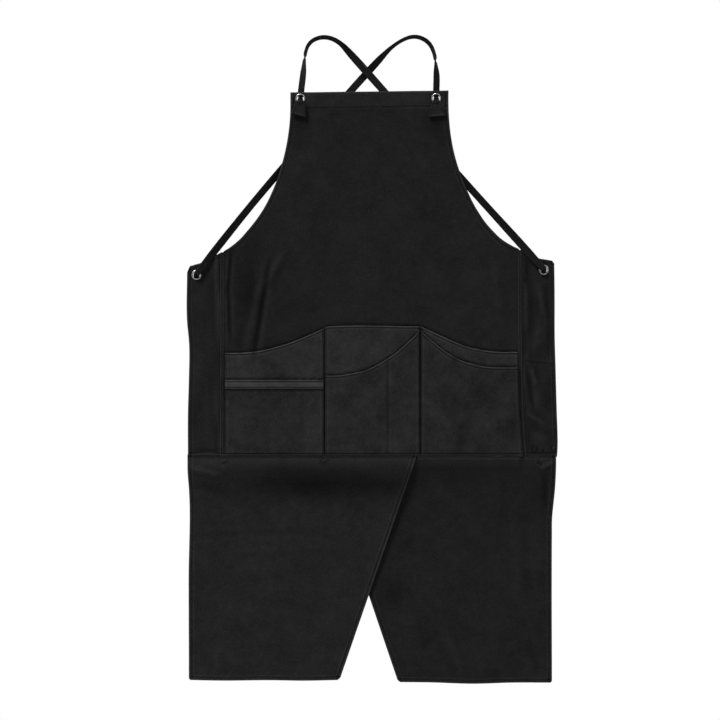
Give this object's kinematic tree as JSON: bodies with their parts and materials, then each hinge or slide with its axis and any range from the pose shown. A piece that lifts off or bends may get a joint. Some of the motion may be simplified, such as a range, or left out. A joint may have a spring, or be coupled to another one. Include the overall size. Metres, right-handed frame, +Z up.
{
  "type": "welding apron",
  "caption": "Split-leg leather welding apron with a bib, hip panels, layered pockets, overlapping leg flaps and straps that cross at the back through metal eyelets.",
  "frame": {"origin": "on the shoulder line, midway between the tops of the two strap loops, in the plane of the bib", "axes": "+X to the right as seen from the front, -Y out of the front, +Z up"},
  "size_m": [0.607, 0.0314, 1.0706],
  "materials": {
    "body_leather": "satin, fine grain",
    "side_leather": "semi-gloss, creased",
    "pocket_leather": "satin, fine grain",
    "trim_leather": "satin",
    "woven_tape": "matt, ribbed weave",
    "nickel": "polished nickel plate"
  },
  "bodies": {
    "root": {"body_panel": "body_leather", "bib_facing": "body_leather", "left_seam_strip": "trim_leather", "right_seam_strip": "trim_leather", "left_pocket_back": "pocket_leather", "left_pocket_front": "pocket_leather", "left_pocket_band": "trim_leather", "centre_pocket_back": "pocket_leather", "centre_pocket_front": "pocket_leather", "right_pocket_back": "pocket_leather", "right_pocket_front": "pocket_leather", "chest_left_grommet": "nickel", "chest_left_washer": "nickel", "chest_right_grommet": "nickel", "chest_right_washer": "nickel", "strap_left_chest": "woven_tape", "strap_right_chest": "woven_tape"},
    "left_side": {"left_side_panel": "body_leather", "waist_left_grommet": "nickel", "waist_left_washer": "nickel", "waist_left_tape_end": "woven_tape"},
    "right_side": {"right_side_panel": "side_leather", "waist_right_grommet": "nickel", "waist_right_washer": "nickel", "waist_right_tape_end": "woven_tape"},
    "over_flap": {"over_leg_flap": "body_leather"},
    "under_flap": {"under_leg_flap": "body_leather"},
    "chest_left_stopper": {"chest_left_tab": "trim_leather"},
    "chest_right_stopper": {"chest_right_tab": "trim_leather"},
    "waist_left_stopper": {"waist_left_tab": "trim_leather"},
    "waist_right_stopper": {"waist_right_tab": "trim_leather"}
  },
  "joints": [
    {"name": "left_side_wrap", "type": "hinge", "parent": "root", "child": "left_side", "pos_m": [-0.2446, 0.00035, -0.52], "axis": [0, 0, -1], "range_deg": [0, 75]},
    {"name": "right_side_wrap", "type": "hinge", "parent": "root", "child": "right_side", "pos_m": [0.249, 0.00035, -0.52], "axis": [0, 0, 1], "range_deg": [0, 75]},
    {"name": "over_flap_swing", "type": "hinge", "parent": "root", "child": "over_flap", "pos_m": [-0.11, -0.00185, -0.6925], "axis": [-1, 0, 0], "range_deg": [0, 85]},
    {"name": "under_flap_swing", "type": "hinge", "parent": "root", "child": "under_flap", "pos_m": [0.11, 0, -0.6925], "axis": [1, 0, 0], "range_deg": [0, 60]},
    {"name": "chest_left_tab_swing", "type": "hinge", "parent": "root", "child": "chest_left_stopper", "pos_m": [-0.115, -0.0038, -0.1072], "axis": [-1, 0, 0], "range_deg": [0, 80]},
    {"name": "chest_right_tab_swing", "type": "hinge", "parent": "root", "child": "chest_right_stopper", "pos_m": [0.1092, -0.0038, -0.1065], "axis": [-1, 0, 0], "range_deg": [0, 80]},
    {"name": "waist_left_tab_swing", "type": "hinge", "parent": "left_side", "child": "waist_left_stopper", "pos_m": [-0.2863, 0.00405, -0.3979], "axis": [1, 0, 0], "range_deg": [0, 80]},
    {"name": "waist_right_tab_swing", "type": "hinge", "parent": "right_side", "child": "waist_right_stopper", "pos_m": [0.2866, 0.00405, -0.3895], "axis": [1, 0, 0], "range_deg": [0, 80]}
  ]
}
